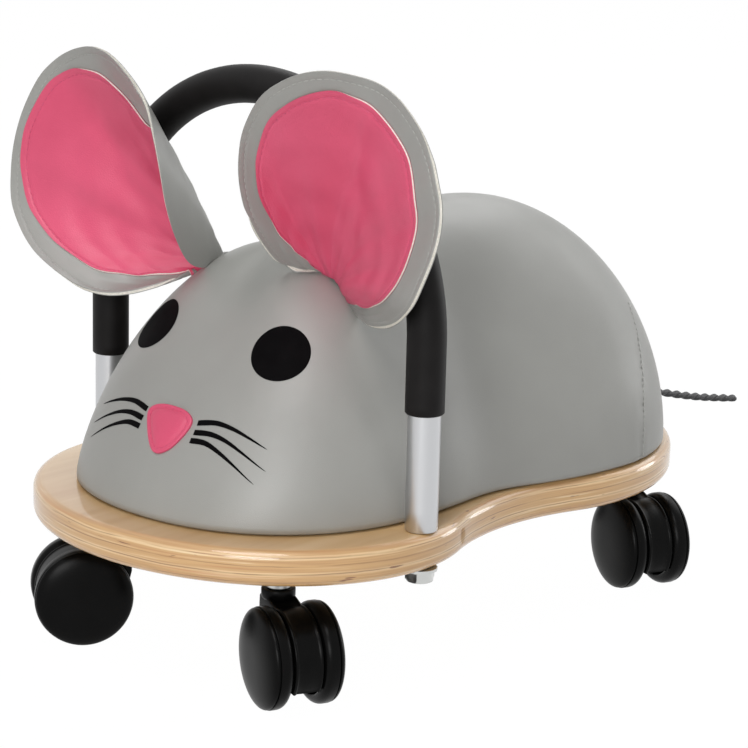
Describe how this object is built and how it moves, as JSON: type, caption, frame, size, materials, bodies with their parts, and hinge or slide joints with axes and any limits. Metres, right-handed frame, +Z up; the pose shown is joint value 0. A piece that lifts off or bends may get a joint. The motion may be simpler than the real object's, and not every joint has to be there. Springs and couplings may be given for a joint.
{
  "type": "ride on mouse",
  "caption": "Low ride-on mouse: padded grey body with pink-lined ears on a peanut-shaped plywood board, hoop handle, cord tail and swivelling twin-wheel casters.",
  "frame": {"origin": "on the floor under the middle of the plywood board", "axes": "+Z up, -Y the way the face looks, +Y the way the tail points, +X the mouse's left side"},
  "size_m": [0.288, 0.5325, 0.3009],
  "materials": {
    "board_wood": "honey birch plywood, clear gloss lacquer",
    "panel_wood": "raw plywood",
    "foam": "polyurethane foam, hidden by the cover",
    "grey_leatherette": "soft grey leatherette with a fine grain",
    "pink_leatherette": "pink leatherette with a fine grain",
    "black_cord": "black waxed cord, two strands twisted",
    "aluminium_tube": "satin",
    "grip_foam": "matte black foam rubber",
    "black_nylon": "semi-gloss moulded nylon",
    "zinc_steel": "bright zinc plating",
    "plated_steel": "zinc plating"
  },
  "bodies": {
    "base": {"base_board": "board_wood", "cushion_board": "panel_wood", "head_padding": "foam", "seat_padding": "foam", "body_cover": "grey_leatherette", "nose_patch": "pink_leatherette", "ear_left": "grey_leatherette", "ear_right": "grey_leatherette", "ear_lining_left": "pink_leatherette", "ear_lining_right": "pink_leatherette", "tail_cord": "black_cord", "handlebar_tube": "aluminium_tube", "handle_grip": "grip_foam", "tube_plug_left": "black_nylon", "handle_washer_left": "plated_steel", "handle_bolt_left": "plated_steel", "tube_plug_right": "black_nylon", "handle_washer_right": "plated_steel", "handle_bolt_right": "plated_steel", "cushion_screw_front_left": "plated_steel", "cushion_screw_front_right": "plated_steel", "cushion_screw_rear_left": "plated_steel", "cushion_screw_rear_right": "plated_steel", "caster_insert_front_right": "plated_steel", "caster_stem_front_right": "zinc_steel", "caster_insert_front_left": "plated_steel", "caster_stem_front_left": "zinc_steel", "caster_insert_rear_left": "plated_steel", "caster_stem_rear_left": "zinc_steel", "caster_insert_rear_right": "plated_steel", "caster_stem_rear_right": "zinc_steel"},
    "swivel_front_right": {"caster_housing_front_right": "black_nylon", "axle_front_right": "plated_steel"},
    "wheel_front_right_a": {"wheel_front_right_a": "black_nylon"},
    "wheel_front_right_b": {"wheel_front_right_b": "black_nylon"},
    "swivel_front_left": {"caster_housing_front_left": "black_nylon", "axle_front_left": "plated_steel"},
    "wheel_front_left_a": {"wheel_front_left_a": "black_nylon"},
    "wheel_front_left_b": {"wheel_front_left_b": "black_nylon"},
    "swivel_rear_left": {"caster_housing_rear_left": "black_nylon", "axle_rear_left": "plated_steel"},
    "wheel_rear_left_a": {"wheel_rear_left_a": "black_nylon"},
    "wheel_rear_left_b": {"wheel_rear_left_b": "black_nylon"},
    "swivel_rear_right": {"caster_housing_rear_right": "black_nylon", "axle_rear_right": "plated_steel"},
    "wheel_rear_right_a": {"wheel_rear_right_a": "black_nylon"},
    "wheel_rear_right_b": {"wheel_rear_right_b": "black_nylon"}
  },
  "joints": [
    {"name": "swivel_turn_front_right", "type": "hinge", "parent": "base", "child": "swivel_front_right", "pos_m": [-0.057, -0.127, 0.05], "axis": [0, 0, 1], "continuous": true},
    {"name": "wheel_spin_front_right_a", "type": "hinge", "parent": "swivel_front_right", "child": "wheel_front_right_a", "pos_m": [-0.06783, -0.14138, 0.025], "axis": [0.7986, -0.6018, 0], "continuous": true},
    {"name": "wheel_spin_front_right_b", "type": "hinge", "parent": "swivel_front_right", "child": "wheel_front_right_b", "pos_m": [-0.06783, -0.14138, 0.025], "axis": [0.7986, -0.6018, 0], "continuous": true},
    {"name": "swivel_turn_front_left", "type": "hinge", "parent": "base", "child": "swivel_front_left", "pos_m": [0.057, -0.127, 0.05], "axis": [0, 0, 1], "continuous": true},
    {"name": "wheel_spin_front_left_a", "type": "hinge", "parent": "swivel_front_left", "child": "wheel_front_left_a", "pos_m": [0.07344, -0.13432, 0.025], "axis": [0.4067, 0.9135, 0], "continuous": true},
    {"name": "wheel_spin_front_left_b", "type": "hinge", "parent": "swivel_front_left", "child": "wheel_front_left_b", "pos_m": [0.07344, -0.13432, 0.025], "axis": [0.4067, 0.9135, 0], "continuous": true},
    {"name": "swivel_turn_rear_left", "type": "hinge", "parent": "base", "child": "swivel_rear_left", "pos_m": [0.0655, 0.141, 0.05], "axis": [0, 0, 1], "continuous": true},
    {"name": "wheel_spin_rear_left_a", "type": "hinge", "parent": "swivel_rear_left", "child": "wheel_rear_left_a", "pos_m": [0.08194, 0.13368, 0.025], "axis": [0.4067, 0.9135, 0], "continuous": true},
    {"name": "wheel_spin_rear_left_b", "type": "hinge", "parent": "swivel_rear_left", "child": "wheel_rear_left_b", "pos_m": [0.08194, 0.13368, 0.025], "axis": [0.4067, 0.9135, 0], "continuous": true},
    {"name": "swivel_turn_rear_right", "type": "hinge", "parent": "base", "child": "swivel_rear_right", "pos_m": [-0.0655, 0.141, 0.05], "axis": [0, 0, 1], "continuous": true},
    {"name": "wheel_spin_rear_right_a", "type": "hinge", "parent": "swivel_rear_right", "child": "wheel_rear_right_a", "pos_m": [-0.0823, 0.13455, 0.025], "axis": [0.3584, -0.9336, 0], "continuous": true},
    {"name": "wheel_spin_rear_right_b", "type": "hinge", "parent": "swivel_rear_right", "child": "wheel_rear_right_b", "pos_m": [-0.0823, 0.13455, 0.025], "axis": [0.3584, -0.9336, 0], "continuous": true}
  ]
}
